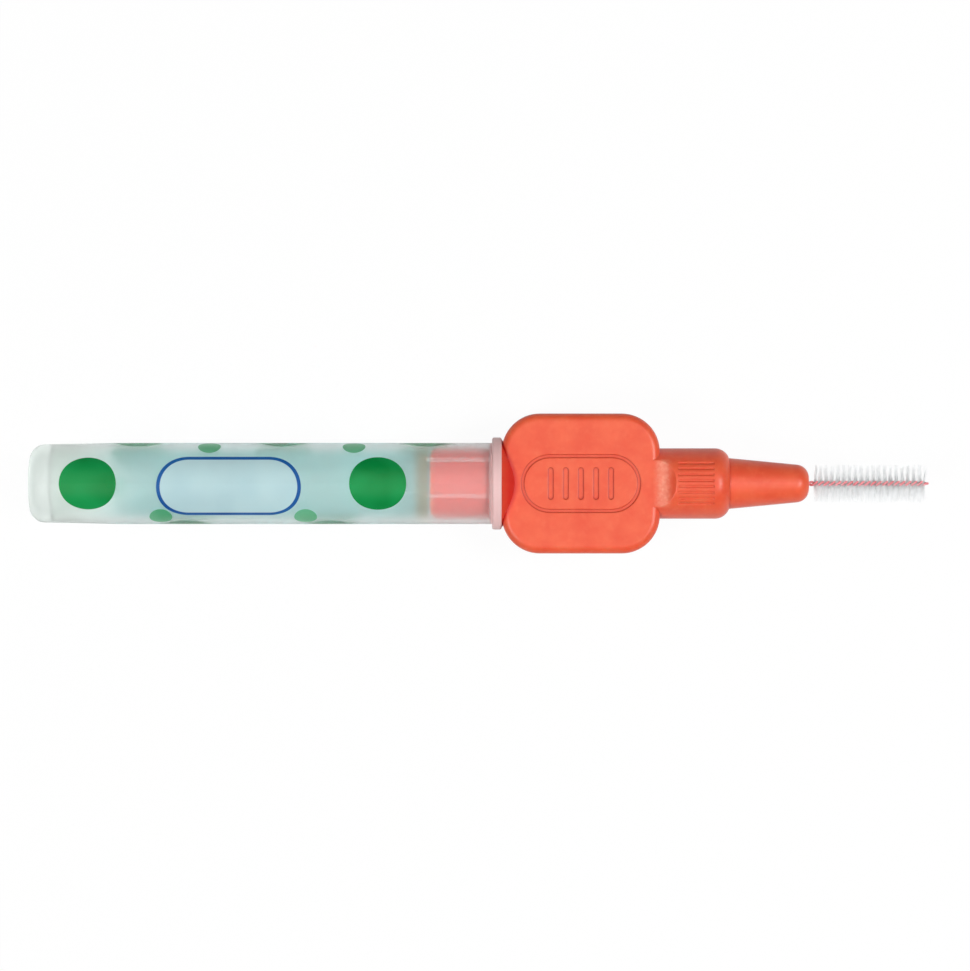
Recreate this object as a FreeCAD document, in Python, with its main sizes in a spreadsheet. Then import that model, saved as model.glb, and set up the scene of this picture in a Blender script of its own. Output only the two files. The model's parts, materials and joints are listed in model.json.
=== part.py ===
import FreeCAD, Part
import math
import os
import Sketcher

# Interdental brush with its protective cap pushed on the rear of the handle.
# X runs along the object from the closed end of the cap to the tip of the brush, Y across
# the finger plate and Z out of its face. The origin is below the middle of the object, on
# the surface that the cap's flange touches. Lengths are in millimetres, angles in degrees.

os.makedirs("parts", exist_ok=True)
doc = FreeCAD.newDocument("interdental_brush")

# Driving dimensions

SIZES = {
    # The plug and the collar share one diameter, because the cap fits on both
    "seat_diameter": 7.04,
    "seat_clearance": 0.02,
    "plug_length": 7.1,
    "plug_chamfer": 0.45,
    # Shoulder that the mouth of the cap stops against, a little inside the rim of its flange
    "shoulder_setback": 0.2,
    "shoulder_length": 1.3,
    # Finger plate
    "plate_length": 15.75,
    "plate_width": 13.94,
    "plate_thickness": 5.2,
    "plate_corner": 3.8,
    "plate_edge_round": 0.85,
    # Shallow grip marks in both faces of the plate
    "frame_end_inset": 1.9,
    "frame_side_inset": 4.07,
    "frame_line": 0.35,
    "mark_depth": 0.12,
    "grip_bar_length": 3.2,
    "grip_bar_width": 0.55,
    "grip_bar_pitch": 1.5,
    "grip_bars": 5,
    # Scoop that rises from the plate to the collar
    "scoop_radius": 3.2,
    "scoop_inset": 0.65,
    # Fluted collar, which draws in a little where it is rooted in the plate
    "collar_length": 6.96,
    "collar_root_step": 0.1,
    "collar_nose": 1.5,
    "flute_width": 0.24,
    "flute_depth": 0.1,
    "flute_margin": 0.18,
    "flute_angle": 10.0,
    "flutes": 8,
    # Tapered neck
    "neck_length": 7.97,
    "neck_step": 0.98,
    "neck_tip_round": 1.3,
    "neck_face_width": 0.3,
    # Cap
    "cap_length": 47.1,
    "cap_wall": 0.41,
    "cap_end_draft": 0.18,
    "cap_end_taper": 9.0,
    "cap_end_round": 1.5,
    "cap_floor": 2.05,
    "cap_floor_round": 0.6,
    "flange_rim": 0.55,
    "flange_thickness": 0.95,
    "flange_edge_round": 0.2,
    "rib_height": 0.1,
    "rib_width": 0.35,
    "rib_length": 6.6,
    "rib_angle": 20.0,
    "ribs": 6,
    # Twisted wire: two legs of one wire, folded at the tip
    "steel_diameter": 0.18,
    "coating_thickness": 0.03,
    "coating_gap": 0.002,
    "strand_gap": 0.06,
    "twist_pitch": 1.165,
    "fold_ease": 0.15,
    "anchor_length": 8.5,
    "wire_clearance": 0.02,
    "bend_start": 0.15,
    "bend_gap": 0.2,
    # Bristles, one tuft in each half turn of the wire
    "tufts": 19,
    "filament_diameter": 0.05,
    "filament_span": 3.8,
    "filaments_per_tuft": 10,
    "bare_wire": 0.16,
    # Length by which every cut runs past the solid that it cuts
    "overrun": 1.0,
}

sizes = doc.addObject("Spreadsheet::Sheet", "Sizes")
for row, (alias, number) in enumerate(SIZES.items(), start=1):
    sizes.set("A%d" % row, alias)
    sizes.set("B%d" % row, str(number))
    sizes.setAlias("B%d" % row, alias)
doc.recompute()


def value(expression):
    """Number that an expression on the sheet gives."""
    return float(sizes.evalExpression(expression))


# Places closer than this are the same place
CLOSE = 1e-6

# Places and sizes that follow from the driving dimensions, as expressions on the sheet

SEAT_RADIUS = "(Sizes.seat_diameter / 2)"
BORE_RADIUS = "(Sizes.seat_diameter / 2 + Sizes.seat_clearance + Sizes.rib_height)"
CAP_RADIUS = "(%s + Sizes.cap_wall)" % BORE_RADIUS
FLANGE_RADIUS = "(%s + Sizes.flange_rim)" % CAP_RADIUS
HALF_PLATE = "(Sizes.plate_thickness / 2)"
STRAND_RADIUS = "(Sizes.steel_diameter / 2 + Sizes.coating_gap + Sizes.coating_thickness)"
TWIST_RADIUS = "(%s + Sizes.strand_gap / 2)" % STRAND_RADIUS
WIRE_RADIUS = "(%s + %s)" % (TWIST_RADIUS, STRAND_RADIUS)
FIRST_TUFT = "(Sizes.bend_start + Sizes.bend_gap + Sizes.bare_wire)"
FOLD_LENGTH = "(Sizes.fold_ease + %s)" % WIRE_RADIUS
BRUSH_LENGTH = "(%s + Sizes.tufts * Sizes.twist_pitch / 2 + %s)" % (FIRST_TUFT, FOLD_LENGTH)
HANDLE_REACH = "(Sizes.plate_length + Sizes.collar_length + Sizes.neck_length)"
OVERALL = "(Sizes.cap_length + %s + %s)" % (HANDLE_REACH, BRUSH_LENGTH)

# Stations along the handle, from the rear face of the plug
PLATE_START = "Sizes.plug_length"
PLATE_END = "(Sizes.plug_length + Sizes.plate_length)"
SCOOP_START = "(%s - Sizes.scoop_inset)" % PLATE_END
COLLAR_END = "(%s + Sizes.collar_length)" % PLATE_END
NECK_END = "(%s + Sizes.neck_length)" % COLLAR_END

# The scoop rises from the face of the plate until it leaves the collar
SCOOP_HEIGHT = "(%s - %s)" % (SEAT_RADIUS, HALF_PLATE)
SCOOP_RUN = "sqrt(2 * Sizes.scoop_radius * %s - %s^2)" % (SCOOP_HEIGHT, SCOOP_HEIGHT)
SCOOP_END = "(%s + %s)" % (SCOOP_START, SCOOP_RUN)

# The collar's rounded nose runs down to the foot of the neck
NECK_BASE = "(%s - Sizes.neck_step)" % SEAT_RADIUS
NOSE_DROP = "(Sizes.neck_step - Sizes.collar_nose)"
NOSE_START = "(%s - sqrt(Sizes.collar_nose^2 - %s^2))" % (COLLAR_END, NOSE_DROP)


def plane(body, role):
    """One of a body's own origin planes or axes."""
    return next(item for item in body.Origin.OriginFeatures if item.Role == role)


def new_body(name):
    body = doc.addObject("PartDesign::Body", name)
    body.Label = name
    return body


def new_sketch(body, name, role):
    sketch = body.newObject("Sketcher::SketchObject", name)
    sketch.AttachmentSupport = (plane(body, role), [""])
    sketch.MapMode = "FlatFace"
    return sketch


def bind(sketch, kind, first, expression):
    """Add a constraint whose number follows the sheet."""
    index = sketch.addConstraint(Sketcher.Constraint(kind, *first, value(expression)))
    sketch.setExpression("Constraints[%d]" % index, expression)


def arc_between(start, end, radius, side):
    """Arc of under a half circle. Side is 1 with its centre on the left and -1 on the right."""
    chord = end - start
    left = FreeCAD.Vector(-chord.y, chord.x, 0).normalize()
    centre = (start + end) / 2 + left * side * math.sqrt(radius ** 2 - (chord.Length / 2) ** 2)
    first, last = (start, end) if side > 0 else (end, start)
    angles = [math.atan2(place.y - centre.y, place.x - centre.x) for place in (first, last)]
    circle = Part.Circle(centre, FreeCAD.Vector(0, 0, 1), radius)
    return Part.ArcOfCircle(circle, *angles)


def add_outline(sketch, corners):
    """Closed outline. A corner is two expressions for its place. Where the edge that ends there
    is an arc, the radius and the side of its centre follow."""
    places = [FreeCAD.Vector(value(corner[0]), value(corner[1]), 0) for corner in corners]
    ends = []
    for place, before, corner in zip(places, places[-1:] + places[:-1], corners):
        if len(corner) == 2:
            edge = sketch.addGeometry(Part.LineSegment(before, place))
            start, end = 1, 2
        else:
            radius, side = corner[2:]
            edge = sketch.addGeometry(arc_between(before, place, value(radius), side))
            start, end = (1, 2) if side > 0 else (2, 1)
            bind(sketch, "Radius", (edge,), radius)
        bind(sketch, "DistanceX", (-1, 1, edge, end), corner[0])
        bind(sketch, "DistanceY", (-1, 1, edge, end), corner[1])
        ends.append((edge, start, end))
    for (before, _, finish), (edge, start, _) in zip(ends[-1:] + ends[:-1], ends):
        sketch.addConstraint(Sketcher.Constraint("Coincident", before, finish, edge, start))


def add_slot(sketch, centre_x, centre_y, length, width, along_x=True):
    """Closed round-ended slot. Places and sizes are expressions, the length is overall."""
    half = "((%s) / 2)" % width
    reach = "((%s) / 2 - %s)" % (length, half)
    low, high = "(%s) - %s", "(%s) + %s"
    if along_x:
        centres = [(low % (centre_x, reach), centre_y), (high % (centre_x, reach), centre_y)]
    else:
        centres = [(centre_x, low % (centre_y, reach)), (centre_x, high % (centre_y, reach))]
    turn = 0 if along_x else math.pi / 2
    arcs = []
    for (x, y), opening in zip(centres, (math.pi / 2 + turn, turn - math.pi / 2)):
        middle = FreeCAD.Vector(value(x), value(y), 0)
        circle = Part.Circle(middle, FreeCAD.Vector(0, 0, 1), value(half))
        arc = sketch.addGeometry(Part.ArcOfCircle(circle, opening, opening + math.pi))
        bind(sketch, "DistanceX", (-1, 1, arc, 3), x)
        bind(sketch, "DistanceY", (-1, 1, arc, 3), y)
        arcs.append(arc)
    bind(sketch, "Radius", (arcs[0],), half)
    for first, second in (arcs, arcs[::-1]):
        side = Part.LineSegment(sketch.getPoint(first, 2), sketch.getPoint(second, 1))
        line = sketch.addGeometry(side)
        sketch.addConstraint(Sketcher.Constraint("Tangent", first, 2, line, 1))
        sketch.addConstraint(Sketcher.Constraint("Tangent", line, 2, second, 1))


def pad(body, sketch, name, length, both_sides=False):
    feature = body.newObject("PartDesign::Pad", name)
    feature.Profile = sketch
    feature.setExpression("Length", length)
    feature.SideType = "Symmetric" if both_sides else "One side"
    return feature


def pocket(body, sketch, name, length, both_sides=False):
    """Cut to both sides of the sketch, or only along its normal."""
    feature = body.newObject("PartDesign::Pocket", name)
    feature.Profile = sketch
    feature.setExpression("Length", length)
    feature.SideType = "Symmetric" if both_sides else "One side"
    feature.Reversed = not both_sides
    return feature


def revolve(body, sketch, name):
    feature = body.newObject("PartDesign::Revolution", name)
    feature.Profile = sketch
    feature.ReferenceAxis = (sketch, ["H_Axis"])
    feature.Angle = 360
    return feature


def round_edges(body, base, name, radius, wanted):
    """Fillet the edges of a feature that a test picks."""
    doc.recompute()
    edges = enumerate(base.Shape.Edges, start=1)
    feature = body.newObject("PartDesign::Fillet", name)
    feature.Base = (base, ["Edge%d" % number for number, edge in edges if wanted(edge)])
    feature.setExpression("Radius", radius)
    body.Tip = feature
    return feature


def spread(edge, direction):
    """Length of an edge's ends and middle along one direction."""
    middle = edge.valueAt((edge.FirstParameter + edge.LastParameter) / 2)
    places = [vertex.Point for vertex in edge.Vertexes] + [middle]
    heights = [place.dot(direction) for place in places]
    return max(heights) - min(heights)


def crosses(edge, station):
    """True for an edge that lies in the plane at one station of the axis."""
    across = FreeCAD.Vector(1, 0, 0)
    near = abs(edge.Vertexes[0].X - station) < CLOSE
    return near and spread(edge, across) < CLOSE


def mirror_down(body, originals, name):
    """Repeat cuts of the upper face on the lower face."""
    feature = body.newObject("PartDesign::Mirrored", name)
    feature.Originals = originals
    feature.MirrorPlane = (plane(body, "XY_Plane"), [""])
    body.Tip = feature
    return feature


def polar(body, name, axis, count, angle):
    feature = body.newObject("PartDesign::PolarPattern", name)
    feature.Axis = axis
    feature.setExpression("Angle", angle)
    feature.setExpression("Occurrences", count)
    return feature


# Handle: one moulding with the plug, shoulder, finger plate, scoops, fluted collar and neck

def handle_profile(body):
    """Half section of everything on the handle that is round about the axis."""
    bore_radius = "(%s + Sizes.wire_clearance)" % WIRE_RADIUS
    bore_floor = "(%s - Sizes.anchor_length - Sizes.wire_clearance)" % NECK_END
    face_radius = "(%s + Sizes.neck_face_width)" % bore_radius
    collar_start = "(%s - 2 * Sizes.scoop_inset)" % PLATE_END
    # The shoulder's cone runs on below the face of the plate, down to a core inside it
    core_radius = "(%s / 2)" % HALF_PLATE
    shoulder_radius = "(%s - Sizes.shoulder_setback)" % FLANGE_RADIUS
    fall_to_core = "(%s - %s)" % (shoulder_radius, core_radius)
    fall_to_face = "(%s - %s)" % (shoulder_radius, HALF_PLATE)
    shoulder_run = "Sizes.shoulder_length * %s / %s" % (fall_to_core, fall_to_face)
    # The neck's cone is tangent to the round of its tip
    tip_centre = "(%s - Sizes.neck_tip_round)" % NECK_END
    run = "(%s - %s)" % (tip_centre, COLLAR_END)
    fall = "(%s - %s)" % (NECK_BASE, face_radius)
    reach = "sqrt(%s^2 + %s^2)" % (run, fall)
    turn = "(180 deg - atan(%s / %s) - acos(Sizes.neck_tip_round / %s))" % (fall, run, reach)
    cone_end = ("%s + Sizes.neck_tip_round * cos(%s)" % (tip_centre, turn),
                "%s + Sizes.neck_tip_round * sin(%s)" % (face_radius, turn))
    sketch = new_sketch(body, "handle_profile", "XZ_Plane")
    add_outline(sketch, [
        ("0", "0"),
        ("0", "%s - Sizes.plug_chamfer" % SEAT_RADIUS),
        ("Sizes.plug_chamfer", SEAT_RADIUS),
        (PLATE_START, SEAT_RADIUS),
        (PLATE_START, shoulder_radius),
        ("%s + %s" % (PLATE_START, shoulder_run), core_radius),
        (collar_start, core_radius),
        (collar_start, "%s - Sizes.collar_root_step" % SEAT_RADIUS),
        (PLATE_END, SEAT_RADIUS),
        (NOSE_START, SEAT_RADIUS),
        (COLLAR_END, NECK_BASE, "Sizes.collar_nose", -1),
        cone_end,
        (NECK_END, face_radius, "Sizes.neck_tip_round", -1),
        (NECK_END, bore_radius),
        (bore_floor, bore_radius),
        (bore_floor, "0"),
    ])
    return sketch


def make_handle():
    body = new_body("handle")
    outline = new_sketch(body, "plate_outline", "XY_Plane")
    half_width = "Sizes.plate_width / 2"
    add_outline(outline, [(PLATE_START, "-" + half_width), (PLATE_END, "-" + half_width),
                          (PLATE_END, half_width), (PLATE_START, half_width)])
    plate = pad(body, outline, "plate", "Sizes.plate_thickness", both_sides=True)

    upright = FreeCAD.Vector(0, 0, 1)
    corners = round_edges(body, plate, "plate_corners", "Sizes.plate_corner",
                          lambda edge: spread(edge, upright) > CLOSE)
    round_edges(body, corners, "plate_edges", "Sizes.plate_edge_round",
                lambda edge: spread(edge, upright) < CLOSE)
    revolve(body, handle_profile(body), "round_parts")

    # Scoops: a flat in line with the face of the plate, then a rise to the top of the collar
    scoop_outline = new_sketch(body, "scoop_outline", "XZ_Plane")
    flat_start = "%s - 2 * Sizes.scoop_inset" % SCOOP_START
    roof = "%s + Sizes.scoop_radius" % HALF_PLATE
    add_outline(scoop_outline, [
        (flat_start, HALF_PLATE),
        (SCOOP_START, HALF_PLATE),
        ("%s + Sizes.scoop_radius" % SCOOP_START, roof, "Sizes.scoop_radius", 1),
        (flat_start, roof),
    ])
    scoop = pocket(body, scoop_outline, "scoop", "Sizes.seat_diameter", both_sides=True)
    mirror_down(body, [scoop], "lower_scoop")

    # Flutes: a fan of narrow slots about the top of the collar, and one about its underside
    flute_outline = new_sketch(body, "flute_outline", "XY_Plane")
    first = "(Sizes.flute_angle * (Sizes.flutes - 1) / 2)"
    floor = "(%s - Sizes.flute_depth)" % SEAT_RADIUS
    tilt = FreeCAD.Rotation(FreeCAD.Vector(1, 0, 0), value(first))
    flute_outline.AttachmentOffset = FreeCAD.Placement(FreeCAD.Vector(), tilt)
    flute_outline.setExpression(".AttachmentOffset.Rotation.Angle", first)
    flute_outline.setExpression(".AttachmentOffset.Base.y", "-%s * sin(%s)" % (floor, first))
    flute_outline.setExpression(".AttachmentOffset.Base.z", "%s * cos(%s)" % (floor, first))
    middle = "(%s + %s) / 2" % (SCOOP_END, NOSE_START)
    flute_length = "%s - %s - 2 * Sizes.flute_margin" % (NOSE_START, SCOOP_END)
    add_slot(flute_outline, middle, "0", flute_length, "Sizes.flute_width")
    flute = pocket(body, flute_outline, "flute", "Sizes.overrun")
    fan = body.newObject("PartDesign::MultiTransform", "flutes")
    fan.Originals = [flute]
    turned = polar(body, "flute_fan", (plane(body, "X_Axis"), [""]), "Sizes.flutes",
                   "Sizes.flute_angle * (Sizes.flutes - 1)")
    turned.Reversed = True
    mirrored = body.newObject("PartDesign::Mirrored", "lower_flutes")
    mirrored.MirrorPlane = (plane(body, "XY_Plane"), [""])
    fan.Transformations = [turned, mirrored]
    body.Tip = fan

    # Grip marks: a round-ended frame with a row of bars inside it, in both faces
    plate_middle = "%s + Sizes.plate_length / 2" % PLATE_START
    frame_outline = new_sketch(body, "frame_outline", "XY_Plane")
    frame_outline.setExpression(".AttachmentOffset.Base.z", "%s - Sizes.mark_depth" % HALF_PLATE)
    frame_length = "Sizes.plate_length - 2 * Sizes.frame_end_inset"
    frame_width = "Sizes.plate_width - 2 * Sizes.frame_side_inset"
    add_slot(frame_outline, plate_middle, "0", frame_length, frame_width)
    add_slot(frame_outline, plate_middle, "0", frame_length + " - 2 * Sizes.frame_line",
             frame_width + " - 2 * Sizes.frame_line")
    frame = pocket(body, frame_outline, "grip_frame", "Sizes.overrun")
    mirror_down(body, [frame], "lower_grip_frame")
    bar_outline = new_sketch(body, "bar_outline", "XY_Plane")
    bar_outline.setExpression(".AttachmentOffset.Base.z", "%s - Sizes.mark_depth" % HALF_PLATE)
    first_bar = "%s - Sizes.grip_bar_pitch * (Sizes.grip_bars - 1) / 2" % plate_middle
    add_slot(bar_outline, first_bar, "0", "Sizes.grip_bar_length", "Sizes.grip_bar_width",
             along_x=False)
    bar = pocket(body, bar_outline, "grip_bar", "Sizes.overrun")
    bars = body.newObject("PartDesign::MultiTransform", "grip_bars")
    bars.Originals = [bar]
    row = body.newObject("PartDesign::LinearPattern", "bar_row")
    row.Direction = (plane(body, "X_Axis"), [""])
    row.setExpression("Length", "Sizes.grip_bar_pitch * (Sizes.grip_bars - 1)")
    row.setExpression("Occurrences", "Sizes.grip_bars")
    mirrored = body.newObject("PartDesign::Mirrored", "lower_bars")
    mirrored.MirrorPlane = (plane(body, "XY_Plane"), [""])
    bars.Transformations = [row, mirrored]
    body.Tip = bars

    body.setExpression(".Placement.Base.x", "Sizes.cap_length - Sizes.plug_length - %s / 2" % OVERALL)
    body.setExpression(".Placement.Base.z", FLANGE_RADIUS)
    return body


# Cap: a thin tube with one thick closed end, a flange at its mouth and grip ribs inside

def make_cap():
    body = new_body("cap")
    section = new_sketch(body, "cap_section", "XZ_Plane")
    end_radius = "%s - Sizes.cap_end_draft" % CAP_RADIUS
    flange_start = "Sizes.cap_length - Sizes.flange_thickness"
    add_outline(section, [
        ("0", "0"),
        ("0", end_radius),
        ("Sizes.cap_end_taper", CAP_RADIUS),
        (flange_start, CAP_RADIUS),
        (flange_start, FLANGE_RADIUS),
        ("Sizes.cap_length", FLANGE_RADIUS),
        ("Sizes.cap_length", BORE_RADIUS),
        ("Sizes.cap_end_taper", BORE_RADIUS),
        ("Sizes.cap_floor", "%s - Sizes.cap_wall" % end_radius),
        ("Sizes.cap_floor", "0"),
    ])
    tube = revolve(body, section, "tube")
    end = round_edges(body, tube, "closed_end", "Sizes.cap_end_round",
                      lambda edge: crosses(edge, 0))
    floor = round_edges(body, end, "floor_corner", "Sizes.cap_floor_round",
                        lambda edge: crosses(edge, value("Sizes.cap_floor")))

    def on_rim(edge):
        reach = math.hypot(edge.Vertexes[0].Y, edge.Vertexes[0].Z)
        across = spread(edge, FreeCAD.Vector(1, 0, 0)) < CLOSE
        return across and abs(reach - value(FLANGE_RADIUS)) < CLOSE

    round_edges(body, floor, "flange_edges", "Sizes.flange_edge_round", on_rim)

    rib_outline = new_sketch(body, "rib_outline", "YZ_Plane")
    turn = FreeCAD.Rotation(FreeCAD.Vector(0, 0, 1), value("Sizes.rib_angle"))
    rib_outline.AttachmentOffset = FreeCAD.Placement(FreeCAD.Vector(), turn)
    rib_outline.setExpression(".AttachmentOffset.Rotation.Angle", "Sizes.rib_angle")
    rib_outline.setExpression(".AttachmentOffset.Base.z", "%s - Sizes.rib_length" % flange_start)
    inner = "%s + Sizes.seat_clearance" % SEAT_RADIUS
    root = "%s + Sizes.cap_wall / 2" % BORE_RADIUS
    half = "Sizes.rib_width / 2"
    add_outline(rib_outline, [("-" + half, inner), (half, inner), (half, root), ("-" + half, root)])
    rib = pad(body, rib_outline, "rib", "Sizes.rib_length")
    ribs = polar(body, "ribs", (plane(body, "X_Axis"), [""]), "Sizes.ribs", "360")
    ribs.Originals = [rib]
    body.Tip = ribs
    body.setExpression(".Placement.Base.x", "-%s / 2" % OVERALL)
    body.setExpression(".Placement.Base.z", FLANGE_RADIUS)
    return body


# Twisted wire: distances along it are counted from the face of the neck

def strand_angle(station):
    """Turn of the pair of legs about the axis at a station, in degrees."""
    return 360 * station / value("Sizes.twist_pitch")


def across_axis(angle, reach):
    """Place at a reach from the axis, turned left-handed about it."""
    turn = math.radians(angle)
    return FreeCAD.Vector(0, -reach * math.sin(turn), -reach * math.cos(turn))


def leg_path(start, end, phase):
    """Centre line of one leg, as an edge."""
    helix = Part.makeHelix(value("Sizes.twist_pitch"), end - start, value(TWIST_RADIUS), 0, True)
    along_axis = FreeCAD.Rotation(FreeCAD.Vector(0, 1, 0), 90)
    turned = FreeCAD.Rotation(FreeCAD.Vector(1, 0, 0), -strand_angle(start) - phase)
    helix.Placement = FreeCAD.Placement(FreeCAD.Vector(start, 0, 0), turned * along_axis)
    return helix.Edges[0]


def end_of(edge):
    """Last place of an edge and its direction there."""
    return edge.valueAt(edge.LastParameter), edge.tangentAt(edge.LastParameter)


def folded_path(start, tip):
    """Centre line that runs out along one leg, round the fold and back along the other."""
    radius = value(TWIST_RADIUS)
    fold_start = tip - radius
    ease_start = fold_start - value("Sizes.fold_ease")
    eased_angle = (strand_angle(ease_start) + strand_angle(fold_start)) / 2
    along = FreeCAD.Vector(1, 0, 0)
    edges = []
    fold_ends = []
    for phase in (0, 180):
        leg = leg_path(start, ease_start, phase)
        leg_end, direction = end_of(leg)
        fold_end = across_axis(eased_angle + phase, radius) + along * fold_start
        ease = Part.BSplineCurve()
        ease.interpolate(Points=[leg_end, fold_end], InitialTangent=direction, FinalTangent=along)
        edges += [leg, ease.toShape()]
        fold_ends.append(fold_end)
    fold = Part.Arc(fold_ends[0], FreeCAD.Vector(tip, 0, 0), fold_ends[1]).toShape()
    edges.append(fold)
    return Part.Wire(Part.__sortEdges__(edges))


def first_place(path):
    """Start of a path and its direction there."""
    place = path.OrderedVertexes[0].Point
    edge = path.OrderedEdges[0]
    parameters = (edge.FirstParameter, edge.LastParameter)
    start = min(parameters, key=lambda parameter: edge.valueAt(parameter).distanceToPoint(place))
    return place, edge.tangentAt(start)


def rod(path, radius):
    """Round wire along a path."""
    place, direction = first_place(path)
    ring = Part.Wire([Part.makeCircle(radius, place, direction)])
    return path.makePipeShell([ring], True, False)


def sleeve(path, inner, outer):
    """Round tube along a path."""
    place, direction = first_place(path)
    rings = [Part.Wire([Part.makeCircle(radius, place, direction)]) for radius in (outer, inner)]
    return path.makePipe(Part.makeFace(rings, "Part::FaceMakerBullseye"))


def place_on_axis(name, shape):
    """Sub-part whose shape is counted from the face of the neck."""
    feature = doc.addObject("Part::Feature", name)
    feature.Label = name
    feature.Shape = shape
    station = value("%s / 2 - %s" % (OVERALL, BRUSH_LENGTH))
    feature.Placement = FreeCAD.Placement(FreeCAD.Vector(station, 0, value(FLANGE_RADIUS)),
                                          FreeCAD.Rotation())
    return feature


def make_wire():
    """Steel and coating of the legs in the neck, and of the folded wire that carries the bristles."""
    steel = value("Sizes.steel_diameter / 2")
    coating_bore = value("Sizes.steel_diameter / 2 + Sizes.coating_gap")
    coating = value(STRAND_RADIUS)
    anchor_start = -value("Sizes.anchor_length")
    anchor_end = value("Sizes.bend_start")
    brush_start = value("Sizes.bend_start + Sizes.bend_gap")
    brush_path = folded_path(brush_start, value(BRUSH_LENGTH) - coating)
    legs = [Part.Wire([leg_path(anchor_start, anchor_end, phase)]) for phase in (0, 180)]
    shapes = {
        "core_wire": rod(brush_path, steel),
        "wire_coating": sleeve(brush_path, coating_bore, coating),
        "core_anchor": Part.makeCompound([rod(leg, steel) for leg in legs]),
        "coating_anchor": Part.makeCompound([sleeve(leg, coating_bore, coating) for leg in legs]),
    }
    section = math.pi * steel ** 2
    print("brush steel %.4f, section times length %.4f"
          % (shapes["core_wire"].Volume, section * brush_path.Length))
    return [place_on_axis(name, shape) for name, shape in shapes.items()]


# Bristles: filaments held between the two legs, each square to the line between them

def make_tufts():
    """One sub-part for each half turn of the wire."""
    half_turn = value("Sizes.twist_pitch / 2")
    filament_count = int(value("Sizes.filaments_per_tuft"))
    span = value("Sizes.filament_span")
    radius = value("Sizes.filament_diameter / 2")
    tufts = []
    for number in range(int(value("Sizes.tufts"))):
        filaments = []
        for index in range(filament_count):
            station = value(FIRST_TUFT) + (number + index / filament_count) * half_turn
            across = across_axis(strand_angle(station) + 90, 1)
            foot = FreeCAD.Vector(station, 0, 0) - across * span / 2
            filaments.append(Part.makeCylinder(radius, span, foot, across))
        name = "bristle_tuft_%02d" % (number + 1)
        tufts.append(place_on_axis(name, Part.makeCompound(filaments)))
    return tufts


nodes = [make_handle(), make_cap()]
nodes += make_wire()
nodes += make_tufts()
doc.recompute()

for item in doc.Objects:
    if "Invalid" in item.State or "Error" in item.State:
        raise RuntimeError("%s failed: %s" % (item.Name, item.State))
for node in nodes:
    if node.Shape.isNull() or not node.Shape.isValid():
        raise RuntimeError("%s has no valid shape" % node.Label)
for node in nodes:
    node.Shape.exportStep("parts/%s.step" % node.Label)
    print("%s: %d solids, %.4f cubic mm" % (node.Label, len(node.Shape.Solids), node.Shape.Volume))
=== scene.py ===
import json
import math
import random

import bmesh
import bpy
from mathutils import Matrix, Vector


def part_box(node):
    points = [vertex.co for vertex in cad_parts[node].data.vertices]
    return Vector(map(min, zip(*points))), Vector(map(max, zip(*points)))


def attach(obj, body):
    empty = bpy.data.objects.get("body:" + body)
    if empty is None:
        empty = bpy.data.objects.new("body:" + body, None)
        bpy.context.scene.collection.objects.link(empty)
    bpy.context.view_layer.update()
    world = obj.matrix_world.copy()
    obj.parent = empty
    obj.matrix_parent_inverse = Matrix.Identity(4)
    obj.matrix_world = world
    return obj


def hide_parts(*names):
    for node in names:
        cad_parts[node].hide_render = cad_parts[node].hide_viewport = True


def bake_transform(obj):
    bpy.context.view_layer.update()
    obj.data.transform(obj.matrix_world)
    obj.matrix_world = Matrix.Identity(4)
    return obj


# Interdental brush with its cap on the rear of the handle. X runs along it to the tip of the
# brush, Z is up and out of the finger plate. Lengths are in metres, angles in degrees.

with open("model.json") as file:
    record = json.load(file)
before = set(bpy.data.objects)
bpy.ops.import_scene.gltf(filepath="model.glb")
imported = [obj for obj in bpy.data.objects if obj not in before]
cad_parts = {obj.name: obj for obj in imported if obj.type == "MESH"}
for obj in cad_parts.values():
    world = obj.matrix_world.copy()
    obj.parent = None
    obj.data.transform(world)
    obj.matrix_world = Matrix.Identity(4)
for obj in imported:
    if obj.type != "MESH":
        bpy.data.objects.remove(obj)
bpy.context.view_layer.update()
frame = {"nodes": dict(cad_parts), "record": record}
nodes = frame["nodes"]
mounts = {mount["name"]: mount for mount in frame["record"]["mounts"]}

MM = 0.001

# Places that the frame gives
AXIS_HEIGHT = mounts["brush_seat"]["pos_m"][2]
CAP_LOW, CAP_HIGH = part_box("cap")
NECK_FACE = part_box("handle")[1].x
WIRE_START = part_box("coating_anchor")[0].x - NECK_FACE
WIRE_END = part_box("wire_coating")[1].x - NECK_FACE
TUFTS = sorted(name for name in nodes if name.startswith("bristle_tuft"))

# Twisted wire, as in the solids. The twist runs half as fast over the ease before the fold.
TWIST_PITCH = 1.165 * MM
STRAND_RADIUS = 0.122 * MM
STEEL_RADIUS = 0.09 * MM
TWIST_RADIUS = 0.152 * MM
FOLD_EASE = 0.15 * MM
STEPS_PER_TURN = 20
STRAND_SIDES = 10

# Places on the handle where its colour holds painted light: a painted highlight on the scoops,
# painted shade in the corners of plate and neck and on the cone of the shoulder beside the flange.
# A pair of places holds where a change starts and where it ends. Light gets into the plastic as far
# as its depth says.
SCOOP_MIDDLE = 18.25 * MM
SCOOP_REACH = 1.1 * MM
SCOOP_SIDE = (2.52 * MM, 2.1 * MM)
CORNER_REACH = 0.3 * MM
COLLAR_START = (17 * MM, 19 * MM)
NECK_FOOT = 24.92 * MM
NECK_FOOT_REACH = 0.7 * MM
SHOULDER_START = 2.21 * MM
SHOULDER_RADIUS = 4.4 * MM
SHOULDER_SLOPE = 1.385
SHOULDER_BLEND = 0.75 * MM
SHOULDER_RISE = 0.8 * MM
SHOULDER_END = (3.6 * MM, 4.6 * MM)
EDGE_SOFTNESS = (0.016 * MM, 0.16 * MM)
LIGHT_DEPTH = 0.8 * MM

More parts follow.
